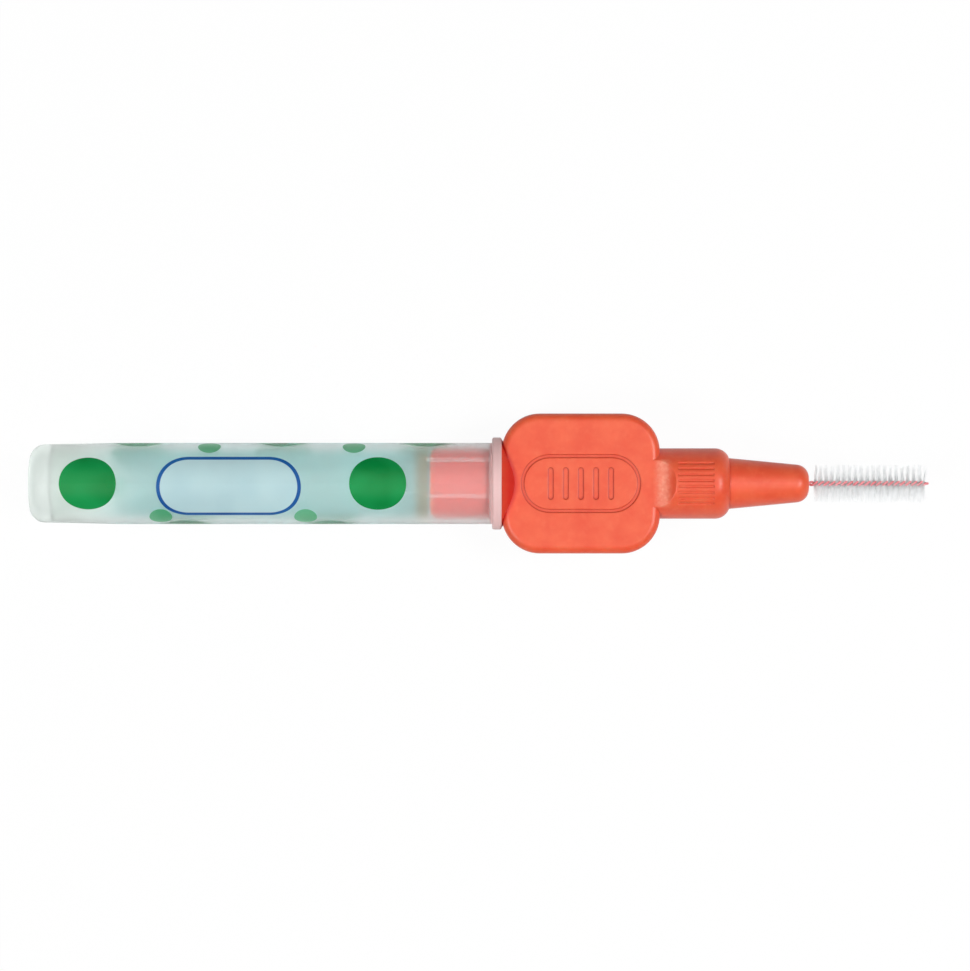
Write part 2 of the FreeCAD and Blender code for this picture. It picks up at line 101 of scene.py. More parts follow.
# Bristles: they lean and bow along the wire by chance, and away from the neck beside it
TUFT_INSET = 0.025 * MM
FILAMENT_RADIUS = 0.014 * MM
FILAMENT_SPAN = 3.84 * MM
SHORTEST_SHARE = 0.95
STATION_JITTER = 0.3
FILAMENTS_PER_TUFT = 52
FILAMENT_SIDES = 5
FILAMENT_STRETCHES = 5
SPLAY = 3.2
BOW = 0.18 * MM
NECK_ROOM = 0.75 * MM
NECK_LEAN = 10.5
NECK_LEAN_END = 0.4 * MM
CHANCE_SEED = 19

# Cap and the print on it: distances along it are counted from the middle of the first dot
CAP_RADIUS = 4.05 * MM
CAP_WALL = 0.41 * MM
RIB_LENGTH = 6.6 * MM
RIB_HEIGHT = 0.1 * MM
FLANGE_THICKNESS = 0.95 * MM
PRINT_START = 6.0 * MM
MOUTH = CAP_HIGH.x - CAP_LOW.x - PRINT_START
FLANGE_START = MOUTH - FLANGE_THICKNESS
# From here the flange's painted coral light from the handle and its milkier plastic blend in
FLANGE_BLEND_START = FLANGE_START - 0.4 * FLANGE_THICKNESS
PRINT_LENGTH = 34 * MM
PRINT_PITCH = 14.4 * MM
PRINT_ROWS = 3
PRINT_EDGE = 0.03 * MM
BIG_DOT = 2.85 * MM
SMALL_DOT = 1.15 * MM
SMALL_DOT_OFFSET = -3.9 * MM
LABEL_MIDDLE = 14.0 * MM
LABEL_SIZE = (14.4 * MM, 6.5 * MM)
LABEL_OFFSET = -0.35 * MM
LABEL_LINE = 0.36 * MM
THICK_END = (-4.8 * MM, 3.4 * MM)
PLUG_START = 34 * MM
# The painted warm shade and coral light from the plug reach this far before it
PLUG_SHADE_REACH = 2.0 * MM
BACK_MIDDLE = 16.3 * MM
BACK_SIZE = (39.6 * MM, 12.6 * MM)
BACK_FADE = (-2.5 * MM, 5.0 * MM)
BACK_CORNER = 3.0 * MM

# Depths of the fine texture on the mouldings and on the coating
MOULD_GRAIN = 0.006 * MM
COATING_GRAIN = 0.003 * MM

# The photograph: ten pixels to a millimetre at the height of the axis
IMAGE_PIXELS = 970
PIXEL = 0.1 * MM
CAMERA_LENS = 200
CAMERA_SENSOR = 36
CAMERA_X = 5.5 * PIXEL
CAMERA_Y = -2.0 * PIXEL

# Light: the room's brightness falls from front to back, and gloss shows it by its height instead.
# A softbox is direction, distance, size and watts. The floor's glow makes it plain white.
ROOM_FRONT_TO_BACK = (0.25, 0.06)
SHEEN_HEIGHT = (0.7, 0.95)
SHEEN_LEVEL = (0.12, 2.6)
LEFT_SOFTBOX = ((-0.55, -0.28, 0.79), 0.55, 0.2, 1.28)
RIGHT_SOFTBOX = ((0.6, 0.0, 0.8), 0.55, 0.18, 1.8)
FLOOR_WIDTH = 2.0
FLOOR_SHADE = (0.6, 0.6, 0.6, 1)
FLOOR_GLOW = 1.03
FLOOR_GLOW_SHARE = 0.93
FLOOR_IN_GLOSS = 0.7


def deselect():
    bpy.ops.object.select_all(action="DESELECT")


def select(piece):
    deselect()
    piece.select_set(True)
    bpy.context.view_layer.objects.active = piece


def linear(red, green, blue):
    """Colour for a shader from one seen on screen, each channel from 0 to 255."""
    def channel(level):
        share = level / 255
        return share / 12.92 if share <= 0.04045 else ((share + 0.055) / 1.055) ** 2.4
    return (channel(red), channel(green), channel(blue), 1)


# Materials

def new_material(name):
    material = bpy.data.materials.new(name)
    material.use_nodes = True
    tree = material.node_tree
    return material, tree, tree.nodes["Principled BSDF"]


def join(tree, source, socket):
    """Joins an output to a socket, or gives the socket a number or a colour."""
    if isinstance(source, bpy.types.NodeSocket):
        tree.links.new(source, socket)
    else:
        socket.default_value = source


def object_place(tree):
    return tree.nodes.new("ShaderNodeTexCoord").outputs["Object"]


def split_place(tree, place):
    """A place or direction as its shares along the brush, across it and up."""
    split = tree.nodes.new("ShaderNodeSeparateXYZ")
    join(tree, place, split.inputs["Vector"])
    return split.outputs["X"], split.outputs["Y"], split.outputs["Z"]


def noise(tree, place, scale, detail=3.0):
    """Value of a cloudy pattern whose features are about 1 / scale metres wide."""
    texture = tree.nodes.new("ShaderNodeTexNoise")
    texture.inputs["Scale"].default_value = scale
    texture.inputs["Detail"].default_value = detail
    join(tree, place, texture.inputs["Vector"])
    return texture.outputs["Fac"]


def spread(tree, level, low, high, new_low, new_high, smooth=False):
    """Level carried from one range to another, and kept inside the new one."""
    node = tree.nodes.new("ShaderNodeMapRange")
    node.interpolation_type = "SMOOTHSTEP" if smooth else "LINEAR"
    ends = {"From Min": low, "From Max": high, "To Min": new_low, "To Max": new_high}
    for socket, number in ends.items():
        node.inputs[socket].default_value = number
    join(tree, level, node.inputs["Value"])
    return node.outputs["Result"]


def maths(tree, operation, *sources):
    node = tree.nodes.new("ShaderNodeMath")
    node.operation = operation
    for source, socket in zip(sources, node.inputs):
        join(tree, source, socket)
    return node.outputs["Value"]


# Numbers of a Mix node's sockets for the share, the first and the second input, and the result
LEVEL_INPUTS = (0, 2, 3)
LEVEL_OUTPUT = 0
COLOUR_INPUTS = (0, 6, 7)
COLOUR_OUTPUT = 2


def mix_levels(tree, share, first, second):
    """The first level, or the second as far as the share says."""
    node = tree.nodes.new("ShaderNodeMix")
    for source, number in zip((share, first, second), LEVEL_INPUTS):
        join(tree, source, node.inputs[number])
    return node.outputs[LEVEL_OUTPUT]


def mix_colours(tree, share, first, second):
    """The first colour, or the second as far as the share says."""
    node = tree.nodes.new("ShaderNodeMix")
    node.data_type = "RGBA"
    for source, number in zip((share, first, second), COLOUR_INPUTS):
        join(tree, source, node.inputs[number])
    return node.outputs[COLOUR_OUTPUT]


def add_bump(tree, shader, height, distance, strength=1.0):
    bump = tree.nodes.new("ShaderNodeBump")
    bump.inputs["Distance"].default_value = distance
    bump.inputs["Strength"].default_value = strength
    join(tree, height, bump.inputs["Height"])
    join(tree, bump.outputs["Normal"], shader.inputs["Normal"])
    return bump


def blend_shaders(tree, share, first, second):
    """The material's surface is the first shader, or the second as far as the share says."""
    blend = tree.nodes.new("ShaderNodeMixShader")
    for source, socket in zip((share, first.outputs[0], second.outputs[0]), blend.inputs):
        join(tree, source, socket)
    join(tree, blend.outputs[0], tree.nodes["Material Output"].inputs["Surface"])


def let_lamps_through(tree, shader, share, tint):
    """A share of each lamp's light goes straight through the surface, as in clear thin plastic."""
    path = tree.nodes.new("ShaderNodeLightPath")
    clear = tree.nodes.new("ShaderNodeBsdfTransparent")
    clear.inputs["Color"].default_value = tint
    share = maths(tree, "MULTIPLY", path.outputs["Is Shadow Ray"], share)
    blend_shaders(tree, share, shader, clear)


def reach_of(tree, first, second):
    """Length of the hypotenuse over two legs."""
    squares = [maths(tree, "MULTIPLY", leg, leg) for leg in (first, second)]
    return maths(tree, "SQRT", maths(tree, "ADD", *squares))


def near_place(tree, along, place, reach):
    """One at a place along the brush, falling softly to none at a reach to either side."""
    distance = maths(tree, "ABSOLUTE", maths(tree, "SUBTRACT", along, place))
    return spread(tree, distance, 0, reach, 1, 0, smooth=True)


CORAL = (linear(235, 88, 57), linear(242, 102, 67))
FLOW_CORAL = linear(248, 118, 80)
# Painted highlight for the scoops, and painted shade for corners, grooves and the shoulder
SCOOP_HIGHLIGHT_CORAL = linear(255, 168, 138)
CORNER_SHADE_CORAL = linear(198, 52, 38)
SHOULDER_SHADE_CORAL = linear(220, 48, 38)

# Heights on the handle's surface, as shares of its grain's
WAVE_SHARE = 3.0
FLOW_SHARE = 1.5


def moulded_coral(tree, place, flow):
    """Clouded coral with paler flow marks."""
    cloud = spread(tree, noise(tree, place, scale=420, detail=4), 0.35, 0.65, 0, 1)
    colour = mix_colours(tree, cloud, *CORAL)
    streaks = spread(tree, flow, 0.5, 0.75, 0, 0.3)
    return mix_colours(tree, streaks, colour, FLOW_CORAL)


def scoop_highlight(tree, place, along, aside, colour):
    """Painted highlight: the scoops are paler where light falls on them, with fine light specks as on
    a matt mould texture.
    """
    in_scoop = near_place(tree, along, SCOOP_MIDDLE, SCOOP_REACH)
    at_side = spread(tree, maths(tree, "ABSOLUTE", aside), *SCOOP_SIDE, 0, 1)
    highlight_share = maths(tree, "MULTIPLY", in_scoop, at_side)
    specks = spread(tree, noise(tree, place, scale=3200), 0.4, 0.7, 0.4, 0.85)
    return mix_colours(tree, maths(tree, "MULTIPLY", highlight_share, specks), colour, SCOOP_HIGHLIGHT_CORAL)


def corner_shade(tree, along, colour):
    """Painted shade: corners and narrow grooves get a deeper colour, as where light comes only off
    other faces.
    """
    corners = tree.nodes.new("ShaderNodeAmbientOcclusion")
    corners.samples = 8
    corners.inputs["Distance"].default_value = CORNER_REACH
    deep = spread(tree, corners.outputs["AO"], 0.48, 0.97, 1, 0)
    before_collar = spread(tree, along, *COLLAR_START, 1, 0.15)
    neck_foot = near_place(tree, along, NECK_FOOT, NECK_FOOT_REACH)
    deep = maths(tree, "MULTIPLY", deep, maths(tree, "MAXIMUM", before_collar, neck_foot))
    return mix_colours(tree, deep, colour, CORNER_SHADE_CORAL)


def shoulder_shade(tree, along, aside, above, colour):
    """Painted shade on the shoulder, deepest where it meets the face of the plate."""
    reach = reach_of(tree, aside, maths(tree, "SUBTRACT", above, AXIS_HEIGHT))
    run = maths(tree, "SUBTRACT", along, SHOULDER_START)
    cone = maths(tree, "SUBTRACT", SHOULDER_RADIUS, maths(tree, "MULTIPLY", run, SHOULDER_SLOPE))
    past_cone = maths(tree, "SUBTRACT", reach, cone)
    in_corner = spread(tree, past_cone, 0, SHOULDER_BLEND, 1, 0, smooth=True)
    in_corner = maths(tree, "MULTIPLY", in_corner, maths(tree, "GREATER_THAN", run, 0.0))
    in_corner = maths(tree, "MULTIPLY", in_corner, spread(tree, run, 0, SHOULDER_RISE, 0.45, 1))
    return mix_colours(tree, in_corner, colour, SHOULDER_SHADE_CORAL)


def soften_edges(tree, along, bump):
    """Rounds the shading of the edges, but leaves those of plug and shoulder nearly crisp."""
    softened = tree.nodes.new("ShaderNodeBevel")
    softened.samples = 12
    join(tree, spread(tree, along, *SHOULDER_END, *EDGE_SOFTNESS), softened.inputs["Radius"])
    join(tree, softened.outputs["Normal"], bump.inputs["Normal"])


def handle_plastic():
    """Coral polypropylene with flow marks, the matt grain of its mould, softened edges, a painted
    highlight on the scoops and painted shade in its corners and on the shoulder.
    """
    material, tree, shader = new_material("handle_plastic")
    place = object_place(tree)
    along, aside, above = split_place(tree, place)
    flow = noise(tree, place, scale=1500)
    colour = moulded_coral(tree, place, flow)
    colour = scoop_highlight(tree, place, along, aside, colour)
    colour = corner_shade(tree, along, colour)
    colour = shoulder_shade(tree, along, aside, above, colour)
    join(tree, colour, shader.inputs["Base Color"])

    shader.inputs["IOR"].default_value = 1.49
    shader.inputs["Specular IOR Level"].default_value = 0.4
    shader.inputs["Subsurface Weight"].default_value = 0.3
    shader.inputs["Subsurface Radius"].default_value = (1.0, 0.15, 0.08)
    shader.inputs["Subsurface Scale"].default_value = LIGHT_DEPTH
    grain = noise(tree, place, scale=5200, detail=2)
    join(tree, spread(tree, grain, 0.3, 0.7, 0.31, 0.4), shader.inputs["Roughness"])
    waves = noise(tree, place, scale=420, detail=1)
    height = maths(tree, "ADD", maths(tree, "MULTIPLY", waves, WAVE_SHARE), grain)
    height = maths(tree, "ADD", height, maths(tree, "MULTIPLY", flow, FLOW_SHARE))
    bump = add_bump(tree, shader, height, MOULD_GRAIN, strength=0.8)
    soften_edges(tree, along, bump)
    return material


def cap_places(tree, place):
    """Distance along the cap from the middle of the first dot, distance round it from its top,
    and reach from its axis."""
    along, aside, above = split_place(tree, place)
    along = maths(tree, "SUBTRACT", along, CAP_LOW.x + PRINT_START)
    above_axis = maths(tree, "SUBTRACT", above, AXIS_HEIGHT)
    around = maths(tree, "MULTIPLY", maths(tree, "ARCTAN2", aside, above_axis), CAP_RADIUS)
    return along, around, reach_of(tree, aside, above_axis)


def print_dots(tree, along, around, first_along, first_around, radius):
    """Mask of the dots of one size. They stand in rows, and each row starts further along."""
    row_width = 2 * math.pi * CAP_RADIUS / PRINT_ROWS
    step = PRINT_PITCH / PRINT_ROWS
    rows = maths(tree, "DIVIDE", maths(tree, "SUBTRACT", around, first_around), row_width)
    row = maths(tree, "ROUND", rows)
    off_row = maths(tree, "MULTIPLY", maths(tree, "SUBTRACT", rows, row), row_width)
    start = maths(tree, "ADD", maths(tree, "MULTIPLY", row, step), first_along)
    turns = maths(tree, "DIVIDE", maths(tree, "SUBTRACT", along, start), PRINT_PITCH)
    turn = maths(tree, "ROUND", turns)
    off_dot = maths(tree, "MULTIPLY", maths(tree, "SUBTRACT", turns, turn), PRINT_PITCH)
    inside = spread(tree, reach_of(tree, off_row, off_dot), radius - PRINT_EDGE, radius, 1, 0)
    middle = maths(tree, "ADD", maths(tree, "MULTIPLY", turn, PRINT_PITCH), start)
    after_start = maths(tree, "GREATER_THAN", middle, -PRINT_EDGE)
    before_end = maths(tree, "LESS_THAN", middle, PRINT_LENGTH)
    return maths(tree, "MULTIPLY", inside, maths(tree, "MULTIPLY", after_start, before_end))


def panel_depth(tree, from_middle, aside, size, corner):
    """Distance inside the rim of a round-cornered panel, up to its corner radius. It is negative
    outside the panel."""
    past = [maths(tree, "SUBTRACT", maths(tree, "ABSOLUTE", way), side / 2 - corner)
            for way, side in zip((from_middle, aside), size)]
    past = [maths(tree, "MAXIMUM", way, 0.0) for way in past]
    return maths(tree, "SUBTRACT", corner, reach_of(tree, *past))


def print_masks(tree, along, around):
    """Masks of the big dots, small dots, label, its outline and the panel on the back of the cap."""
    big = print_dots(tree, along, around, 0.0, 0.0, BIG_DOT)
    small = print_dots(tree, along, around, PRINT_PITCH / 2, SMALL_DOT_OFFSET, SMALL_DOT)
    from_middle = maths(tree, "SUBTRACT", along, LABEL_MIDDLE)
    aside = maths(tree, "SUBTRACT", around, LABEL_OFFSET)
    depth = panel_depth(tree, from_middle, aside, LABEL_SIZE, LABEL_SIZE[1] / 2)
    label = spread(tree, depth, 0, PRINT_EDGE, 0, 1)
    in_line = spread(tree, depth, LABEL_LINE, LABEL_LINE + PRINT_EDGE, 1, 0)
    line = maths(tree, "MULTIPLY", label, in_line)
    from_middle = maths(tree, "SUBTRACT", along, BACK_MIDDLE)
    aside = maths(tree, "SUBTRACT", math.pi * CAP_RADIUS, maths(tree, "ABSOLUTE", around))
    back = panel_depth(tree, from_middle, aside, BACK_SIZE, BACK_CORNER)
    back = spread(tree, back, 0, BACK_CORNER, 0, 1, smooth=True)
    back = maths(tree, "MULTIPLY", back, spread(tree, along, *BACK_FADE, 0, 1, smooth=True))
    return big, small, label, line, back


CLEAR_PLASTIC = (linear(236, 244, 241), linear(242, 248, 246))
THICK_PLASTIC = (linear(220, 227, 223), linear(228, 234, 231))
# Painted coral light from the handle, in the flange
HANDLE_LIGHT_PLASTIC = (linear(254, 212, 210), linear(255, 220, 218))
# Painted warm shade and coral light from the plug, before it
PLUG_SHADE_PLASTIC = linear(239, 225, 212)
PLASTIC_ROUND_PLUG = linear(234, 239, 239)
# Painted glow of the light that the milky wall scatters, where it is seen edge on
THICK_EDGE = linear(236, 241, 238)
CLEAR_EDGE = linear(252, 254, 253)
PLASTIC_SHADE = linear(244, 249, 247)
BIG_DOT_INK = (linear(0, 126, 50), linear(12, 148, 70))
SMALL_DOT_INK = (linear(84, 176, 120), linear(112, 194, 142))
BACK_INK = (linear(98, 170, 176), linear(108, 178, 183))
LABEL_INK = (linear(200, 226, 232), linear(210, 234, 238))
LINE_INK = (linear(22, 80, 154), linear(30, 92, 166))

# Shares of the light that inks and ribs hold back, and shares of bare plastic that are clear
BIG_DOT_COVER = 0.9
SMALL_DOT_COVER = 0.6
BACK_COVER = 0.6
LABEL_COVER = 0.75
RIB_COVER = 0.13
CLEAR_BY_END = (0.66, 0.9)
CLEAR_AT_EDGE = 0.98
CLEAR_IN_FLANGE = 0.15
LAMPS_THROUGH_FLANGE = 0.1

# Height of the ink on the cap's surface, as a share of its waves'
INK_SHARE = 0.4


def plastic_colour(tree, place, along, past_end, rim, in_flange):
    """Colour of the bare plastic: dull in the thick end, with painted warm shade and coral light from
    the plug before it, a painted glow where it is seen edge on, and painted coral light from the
    handle in the flange."""
    cloud = spread(tree, noise(tree, place, scale=160), 0.3, 0.7, 0, 1)
    clear = mix_colours(tree, cloud, *CLEAR_PLASTIC)
    thick = mix_colours(tree, cloud, *THICK_PLASTIC)
    handle_light = mix_colours(tree, cloud, *HANDLE_LIGHT_PLASTIC)
    shade_start = PLUG_START - PLUG_SHADE_REACH
    before_plug = spread(tree, along, shade_start, shade_start + 0.6 * PLUG_SHADE_REACH, 0, 1, smooth=True)
    clear = mix_colours(tree, before_plug, clear, PLUG_SHADE_PLASTIC)
    near_plug = spread(tree, along, PLUG_START - 0.25 * PLUG_SHADE_REACH, PLUG_START, 0, 1, smooth=True)
    clear = mix_colours(tree, near_plug, clear, PLASTIC_ROUND_PLUG)
    colour = mix_colours(tree, past_end, thick, clear)
    colour = mix_colours(tree, rim, colour, mix_colours(tree, past_end, THICK_EDGE, CLEAR_EDGE))
    return mix_colours(tree, in_flange, colour, handle_light)


def add_inks(tree, place, colour, masks):
    """Colour with the print laid over it, each ink slightly clouded."""
    big, small, label, line, back = masks
    inks = ((big, BIG_DOT_INK), (small, SMALL_DOT_INK), (back, BACK_INK),
            (label, LABEL_INK), (line, LINE_INK))
    cloud = spread(tree, noise(tree, place, scale=260, detail=1), 0.35, 0.65, 0, 1)
    for mask, ink in inks:
        colour = mix_colours(tree, mask, colour, mix_colours(tree, cloud, *ink))
    return colour


def covered_share(tree, along, reach, masks):
    """Share of the light that the print holds back, and the ribs inside the mouth."""
    big, small, label, line, back = masks
    cover = maths(tree, "MULTIPLY", big, BIG_DOT_COVER)
    cover = maths(tree, "MAXIMUM", cover, maths(tree, "MULTIPLY", small, SMALL_DOT_COVER))
    cover = mix_levels(tree, back, cover, BACK_COVER)
    cover = mix_levels(tree, label, cover, LABEL_COVER)
    cover = maths(tree, "MAXIMUM", cover, line)
    deep = maths(tree, "LESS_THAN", reach, CAP_RADIUS - CAP_WALL - RIB_HEIGHT / 4)
    near_mouth = maths(tree, "GREATER_THAN", along, FLANGE_START - RIB_LENGTH)
    ribs = maths(tree, "MULTIPLY", deep, near_mouth)
    return maths(tree, "MAXIMUM", cover, maths(tree, "MULTIPLY", ribs, RIB_COVER))


def cap_plastic():
    """Milky clear polypropylene with a print of plain dots and blank panels on its outside. Its colour
    holds painted light and shade near the plug, in the flange and where it is seen edge on.
    """
    material, tree, shader = new_material("cap_plastic")
    place = object_place(tree)
    along, around, reach = cap_places(tree, place)
    past_end = spread(tree, along, *THICK_END, 0, 1, smooth=True)
    in_flange = spread(tree, along, FLANGE_BLEND_START, FLANGE_START, 0, 1, smooth=True)
    edge_on = tree.nodes.new("ShaderNodeLayerWeight")
    edge_on.inputs["Blend"].default_value = 0.5
    rim = spread(tree, edge_on.outputs["Facing"], 0.25, 0.6, 0, 1, smooth=True)
    outside = maths(tree, "GREATER_THAN", reach, CAP_RADIUS - CAP_WALL / 2)
    masks = [maths(tree, "MULTIPLY", mask, outside) for mask in print_masks(tree, along, around)]
    colour = plastic_colour(tree, place, along, past_end, rim, in_flange)
    join(tree, add_inks(tree, place, colour, masks), shader.inputs["Base Color"])

    cover = covered_share(tree, along, reach, masks)
    bare = spread(tree, past_end, 0, 1, *CLEAR_BY_END)
    bare = mix_levels(tree, rim, bare, CLEAR_AT_EDGE)
    bare = mix_levels(tree, in_flange, bare, CLEAR_IN_FLANGE)
    open_share = maths(tree, "MULTIPLY", bare, spread(tree, cover, 0, 1, 1, 0.1))
    join(tree, open_share, shader.inputs["Transmission Weight"])
    through = mix_levels(tree, in_flange, open_share, LAMPS_THROUGH_FLANGE)
    let_lamps_through(tree, shader, through, PLASTIC_SHADE)

    shader.inputs["IOR"].default_value = 1.28
    grain = noise(tree, place, scale=4000, detail=2)
    join(tree, spread(tree, grain, 0.3, 0.7, 0.29, 0.36), shader.inputs["Roughness"])
    waves = noise(tree, place, scale=500, detail=1)
    height = maths(tree, "ADD", waves, maths(tree, "MULTIPLY", cover, INK_SHARE))
    add_bump(tree, shader, height, MOULD_GRAIN, strength=0.5)
    return material


CRIMSON = (linear(236, 124, 132), linear(246, 162, 165))
STEEL = (linear(188, 190, 194), linear(214, 215, 218))
NYLON = (linear(234, 236, 237), linear(247, 248, 248))
NYLON_SHADE = linear(250, 250, 250)
LAMPS_THROUGH_NYLON = 0.8


def wire_coating():
    """Smooth crimson plastic sleeve."""
    material, tree, shader = new_material("wire_coating")
    place = object_place(tree)
    cloud = noise(tree, place, scale=900)
    colour = mix_colours(tree, spread(tree, cloud, 0.3, 0.7, 0, 1), *CRIMSON)
    join(tree, colour, shader.inputs["Base Color"])
    gloss = noise(tree, place, scale=6000)
    join(tree, spread(tree, gloss, 0.3, 0.7, 0.28, 0.4), shader.inputs["Roughness"])
    grain = noise(tree, place, scale=5000, detail=1)
    add_bump(tree, shader, grain, COATING_GRAIN, strength=0.5)
    return material


def wire_steel():
    """Drawn stainless wire, a little uneven in gloss."""
    material, tree, shader = new_material("wire_steel")
    place = object_place(tree)
    shader.inputs["Metallic"].default_value = 1.0
    cloud = noise(tree, place, scale=3000)
    colour = mix_colours(tree, spread(tree, cloud, 0.3, 0.7, 0, 1), *STEEL)
    join(tree, colour, shader.inputs["Base Color"])
    join(tree, spread(tree, cloud, 0.3, 0.7, 0.22, 0.36), shader.inputs["Roughness"])
    return material


def bristle_nylon():
    """Clear white nylon filament."""
    material, tree, shader = new_material("bristle_nylon")
    place = object_place(tree)
    cloud = noise(tree, place, scale=2500, detail=1)
    colour = mix_colours(tree, spread(tree, cloud, 0.3, 0.7, 0, 1), *NYLON)
    join(tree, colour, shader.inputs["Base Color"])
    join(tree, spread(tree, cloud, 0.3, 0.7, 0.3, 0.42), shader.inputs["Roughness"])
    shader.inputs["Transmission Weight"].default_value = 0.7
    shader.inputs["IOR"].default_value = 1.5
    let_lamps_through(tree, shader, LAMPS_THROUGH_NYLON, NYLON_SHADE)
    return material


MATERIALS = {
    "handle_plastic": handle_plastic(),
    "cap_plastic": cap_plastic(),
    "wire_coating": wire_coating(),
    "wire_steel": wire_steel(),
    "bristle_nylon": bristle_nylon(),
}


def dress(piece, slot):
    piece.data.materials.clear()
    piece.data.materials.append(MATERIALS[slot])


def finish_piece(piece, slot):
    """Give a modelled piece the finish of the record's slot that it comes from."""
    dress(piece, slot)


# Twisted wire: distances along it are counted from the face of the neck

def across_axis(station, phase, reach):
    """Place at a reach from the axis on the left-handed twist."""
    turn = math.radians(360 * station / TWIST_PITCH + phase)
    return Vector((NECK_FACE + station, -reach * math.sin(turn), AXIS_HEIGHT - reach * math.cos(turn)))


def leg_places(start, end, phase):
    """Places along one leg of the wire, close enough for a smooth twist."""
    steps = math.ceil((end - start) / TWIST_PITCH * STEPS_PER_TURN)
    return [across_axis(start + (end - start) * step / steps, phase, TWIST_RADIUS)
            for step in range(steps + 1)]


def twisted_wire(name, radius, start, tip):
    """One wire that runs out, folds over at the tip and runs back, as a tube."""
    fold_start = tip - TWIST_RADIUS
    ease_start = fold_start - FOLD_EASE
    out = leg_places(start, ease_start, 0)
    back = leg_places(start, ease_start, 180)
    eased = (ease_start + fold_start) / 2
    near, far = (across_axis(eased, phase, TWIST_RADIUS) for phase in (0, 180))
    shift = Vector((fold_start - eased, 0, 0))
    centre = (near + far) / 2 + shift
    arm = near + shift - centre
    along = Vector((TWIST_RADIUS, 0, 0))
    fold_steps = STEPS_PER_TURN // 2
    angles = [math.pi * step / fold_steps for step in range(fold_steps + 1)]
    fold = [centre + arm * math.cos(angle) + along * math.sin(angle) for angle in angles]
    places = out + fold + back[::-1]
    curve = bpy.data.curves.new(name, "CURVE")
    curve.dimensions = "3D"
    curve.bevel_depth = radius
    curve.bevel_resolution = STRAND_SIDES // 2 - 2
    curve.use_fill_caps = True
    spline = curve.splines.new("POLY")
    spline.points.add(len(places) - 1)
    for point, place in zip(spline.points, places):
        point.co = (*place, 1)
    wire = bpy.data.objects.new(name, curve)
    bpy.context.scene.collection.objects.link(wire)
    select(wire)
    bpy.ops.object.convert(target="MESH")
    bpy.ops.object.shade_smooth()
    return bpy.context.object


def bristle_mesh():
    """One filament along Z about the origin, of unit length and radius, in short stretches."""
    deselect()
    bpy.ops.mesh.primitive_cylinder_add(vertices=FILAMENT_SIDES, radius=1, depth=1)
    filament = bpy.context.object
    bpy.ops.object.mode_set(mode="EDIT")
    for ring in range(1, FILAMENT_STRETCHES):
        bpy.ops.mesh.select_all(action="SELECT")
        bpy.ops.mesh.bisect(plane_co=(0, 0, ring / FILAMENT_STRETCHES - 0.5), plane_no=(0, 0, 1))
    bpy.ops.object.mode_set(mode="OBJECT")
    mesh = filament.data
    bpy.data.objects.remove(filament)
    return mesh


def bristle_tuft(name, node_name, pattern, chance):
    """Filaments of one half turn, spread evenly along it and splayed a little by chance."""
    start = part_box(node_name)[0].x + TUFT_INSET - NECK_FACE
    half_turn = TWIST_PITCH / 2
    mesh = bmesh.new()
    for index in range(FILAMENTS_PER_TUFT):
        step = index + chance.uniform(-STATION_JITTER, STATION_JITTER)
        station = start + step / FILAMENTS_PER_TUFT * half_turn
        foot = Vector((NECK_FACE + station, 0, AXIS_HEIGHT))
        across = (across_axis(station, 90, 1) - foot).normalized()
        along = Vector((1, 0, 0))
        bow = chance.uniform(-BOW, BOW)
        swing = [chance.gauss(0, SPLAY / 2) for _ in range(2)]
        if station < NECK_ROOM:
            # Beside the neck they lean away from it, which leaves it room to bend
            bow = abs(bow) * station / NECK_ROOM
            neck_lean = NECK_LEAN * max(0, 1 - station / NECK_LEAN_END)
            swing = [abs(lean) + neck_lean for lean in swing]
        length = FILAMENT_SPAN * chance.uniform(SHORTEST_SHARE, 1.0)
        side = along.cross(across)
        first = len(mesh.verts)
        mesh.from_mesh(pattern)
        mesh.verts.ensure_lookup_table()
        for vert in mesh.verts[first:]:
            reach = vert.co.z * 2
            lean = math.tan(math.radians(swing[0 if reach > 0 else 1])) * abs(reach) * length / 2
            middle = foot + across * reach * length / 2 + along * (lean + bow * reach ** 2)
            vert.co = middle + (side * vert.co.x + along * vert.co.y) * FILAMENT_RADIUS
    data = bpy.data.meshes.new(name)
    mesh.to_mesh(data)
    mesh.free()
    tuft = bpy.data.objects.new(name, data)
    bpy.context.scene.collection.objects.link(tuft)
    select(tuft)
    bpy.ops.object.shade_smooth_by_angle(angle=math.radians(60))
    return tuft


def make_wire():
    """Coating and steel, each one twisted tube in place of its two parts."""
    pieces = (("twisted_coating", STRAND_RADIUS, "wire_coating", ("wire_coating", "coating_anchor")),
              ("twisted_steel", STEEL_RADIUS, "wire_steel", ("core_wire", "core_anchor")))
    for name, radius, slot, replaced in pieces:
        wire = twisted_wire(name, radius, WIRE_START, WIRE_END - STRAND_RADIUS)
        finish_piece(wire, slot)
        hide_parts(*replaced)
        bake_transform(wire)


def make_bristles():
    chance = random.Random(CHANCE_SEED)
    pattern = bristle_mesh()
    for number, node_name in enumerate(TUFTS, start=1):
        tuft = bristle_tuft("bristles_%02d" % number, node_name, pattern, chance)
        finish_piece(tuft, "bristle_nylon")
        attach(tuft, "head")
        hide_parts(node_name)


def add_camera():
    """Camera square above the brush, as in the photograph."""
    data = bpy.data.cameras.new("photo_camera")
    data.lens = CAMERA_LENS
    data.sensor_width = CAMERA_SENSOR
    camera = bpy.data.objects.new("photo_camera", data)
    bpy.context.scene.collection.objects.link(camera)
    distance = CAMERA_LENS / CAMERA_SENSOR * IMAGE_PIXELS * PIXEL
    camera.location = (CAMERA_X, CAMERA_Y, AXIS_HEIGHT + distance)
    bpy.context.scene.camera = camera


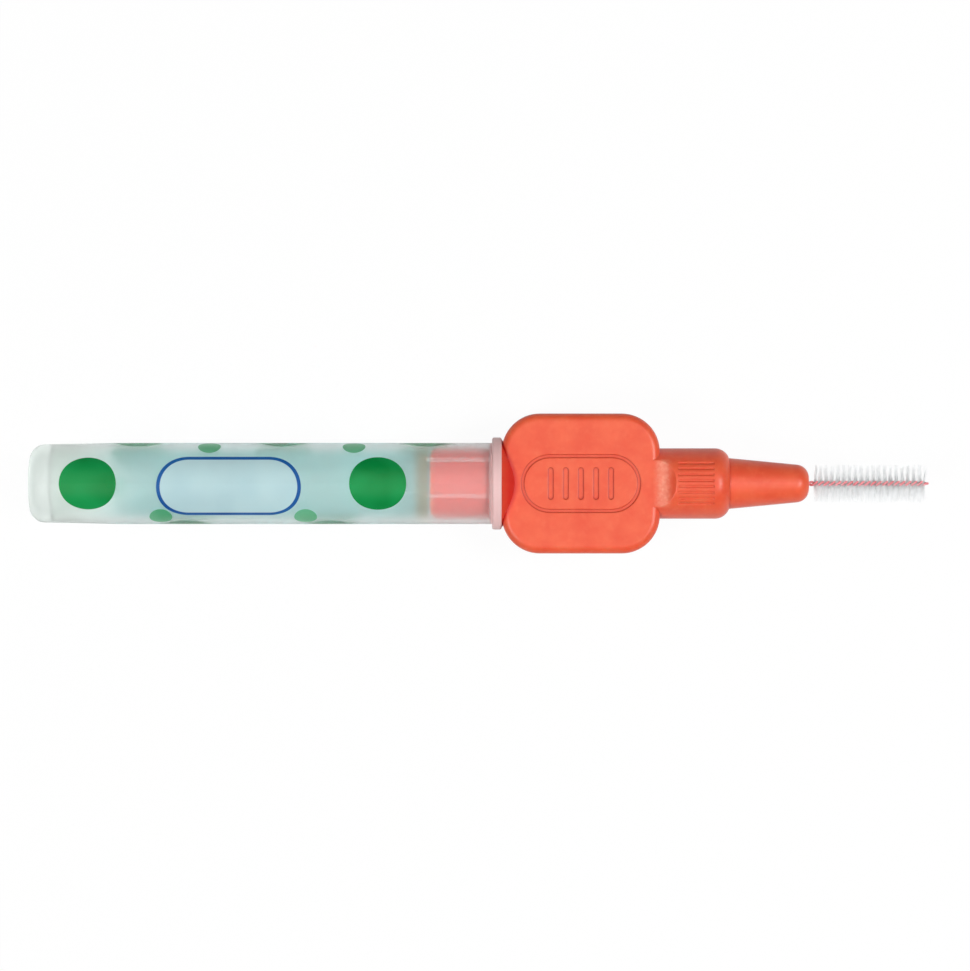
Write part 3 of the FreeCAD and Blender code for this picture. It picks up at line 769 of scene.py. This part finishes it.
def add_softbox(name, direction, distance, size, power):
    """Square soft lamp that faces the brush."""
    data = bpy.data.lights.new(name, "AREA")
    data.size = size
    data.energy = power
    lamp = bpy.data.objects.new(name, data)
    bpy.context.scene.collection.objects.link(lamp)
    away = Vector(direction).normalized()
    lamp.location = Vector((0, 0, AXIS_HEIGHT)) + away * distance
    lamp.rotation_euler = away.to_track_quat("Z", "Y").to_euler()


def seen_directly(tree):
    """One for rays that the camera sees straight or through clear plastic, less in gloss."""
    path = tree.nodes.new("ShaderNodeLightPath")
    in_gloss = maths(tree, "MULTIPLY", path.outputs["Is Glossy Ray"], FLOOR_IN_GLOSS)
    seen = maths(tree, "MAXIMUM", path.outputs["Is Camera Ray"], in_gloss)
    return maths(tree, "MAXIMUM", seen, path.outputs["Is Transmission Ray"])


def add_light():
    """White room that gloss sees as a bright ceiling, and two soft lamps."""
    world = bpy.data.worlds.new("studio")
    world.use_nodes = True
    tree = world.node_tree
    background = tree.nodes["Background"]
    background.inputs["Color"].default_value = (1, 1, 1, 1)
    direction = tree.nodes.new("ShaderNodeTexCoord").outputs["Generated"]
    _, to_back, upward = split_place(tree, direction)
    room = spread(tree, to_back, -1, 1, *ROOM_FRONT_TO_BACK)
    sheen = spread(tree, upward, *SHEEN_HEIGHT, *SHEEN_LEVEL)
    path = tree.nodes.new("ShaderNodeLightPath")
    level = mix_levels(tree, path.outputs["Is Glossy Ray"], room, sheen)
    clear = maths(tree, "MAXIMUM", path.outputs["Is Camera Ray"], path.outputs["Is Transmission Ray"])
    join(tree, mix_levels(tree, clear, level, 1.0), background.inputs["Strength"])
    bpy.context.scene.world = world
    add_softbox("left_softbox", *LEFT_SOFTBOX)
    add_softbox("right_softbox", *RIGHT_SOFTBOX)


def add_floor():
    """White floor that shows plain white to the camera but keeps a faint shadow."""
    deselect()
    bpy.ops.mesh.primitive_plane_add(size=FLOOR_WIDTH)
    floor = bpy.context.object
    floor.name = "studio_floor"
    material, tree, shader = new_material("studio_floor")
    shader.inputs["Base Color"].default_value = FLOOR_SHADE
    shader.inputs["Roughness"].default_value = 0.9
    glow = tree.nodes.new("ShaderNodeEmission")
    glow.inputs["Strength"].default_value = FLOOR_GLOW
    share = maths(tree, "MULTIPLY", seen_directly(tree), FLOOR_GLOW_SHARE)
    blend_shaders(tree, share, shader, glow)
    floor.data.materials.append(material)


dress(nodes["handle"], "handle_plastic")
dress(nodes["cap"], "cap_plastic")
make_wire()
make_bristles()
add_camera()
add_light()
add_floor()
bpy.context.scene.view_settings.view_transform = "Standard"
